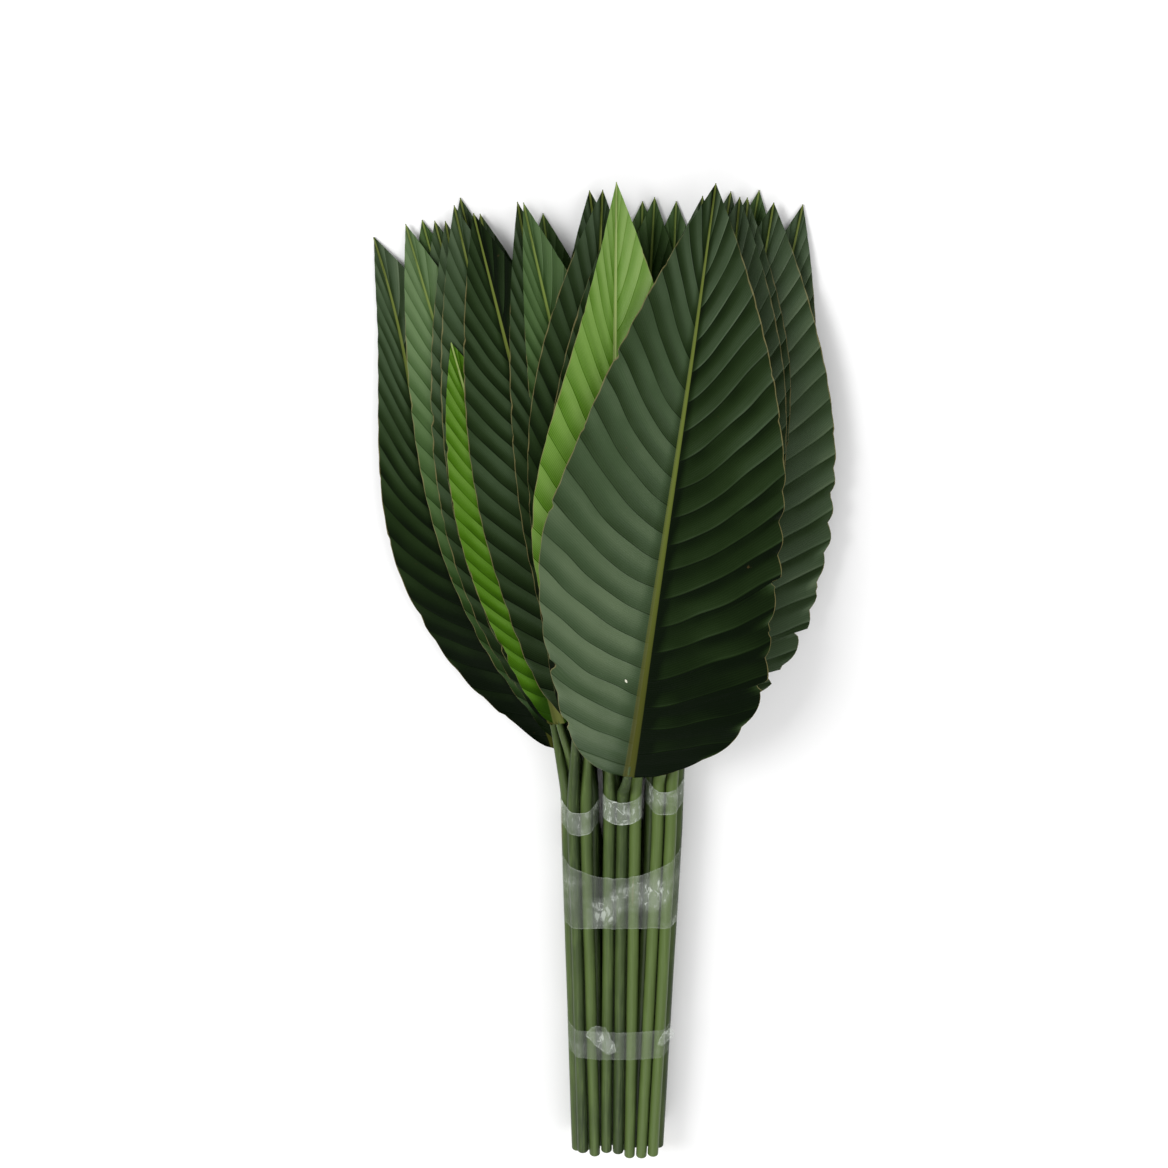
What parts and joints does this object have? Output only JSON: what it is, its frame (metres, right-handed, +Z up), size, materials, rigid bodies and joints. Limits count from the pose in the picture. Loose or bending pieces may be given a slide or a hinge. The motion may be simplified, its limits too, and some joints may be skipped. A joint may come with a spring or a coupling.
{
  "type": "bunch of bird of paradise leaves",
  "caption": "Taped bunch of long-stalked bird of paradise leaves, broad pleated green blades fanned out at one end, lying on its back.",
  "frame": {"origin": "on the surface the bunch lies on, under the middle of its outer box", "axes": "+Y from the cut ends of the stems to the tips, +Z up off the surface, +X to the right seen from above with the tips away"},
  "size_m": [0.4564, 1.141, 0.1039],
  "materials": {
    "leaf_dark": "satin",
    "leaf_mid": "satin",
    "leaf_bright": "satin",
    "clear_tape": "gloss"
  },
  "bodies": {
    "root": {"leaf_01": "leaf_mid", "leaf_02": "leaf_mid", "leaf_03": "leaf_dark", "leaf_04": "leaf_mid", "leaf_05": "leaf_mid", "leaf_06": "leaf_mid", "leaf_07": "leaf_dark", "leaf_08": "leaf_dark", "leaf_09": "leaf_mid", "leaf_10": "leaf_dark", "leaf_11": "leaf_dark", "leaf_12": "leaf_mid", "leaf_13": "leaf_dark", "leaf_14": "leaf_dark", "leaf_15": "leaf_mid", "leaf_16": "leaf_dark", "leaf_17": "leaf_dark", "leaf_18": "leaf_dark", "leaf_19": "leaf_bright", "leaf_20": "leaf_dark", "leaf_21": "leaf_dark", "leaf_22": "leaf_mid", "leaf_23": "leaf_dark", "leaf_24": "leaf_dark", "leaf_25": "leaf_dark", "leaf_26": "leaf_dark", "leaf_27": "leaf_dark", "leaf_28": "leaf_bright", "leaf_29": "leaf_dark", "leaf_30": "leaf_dark", "tape_left": "clear_tape", "tape_middle": "clear_tape", "tape_right": "clear_tape", "tape_wide": "clear_tape", "tape_lower": "clear_tape"}
  },
  "joints": []
}
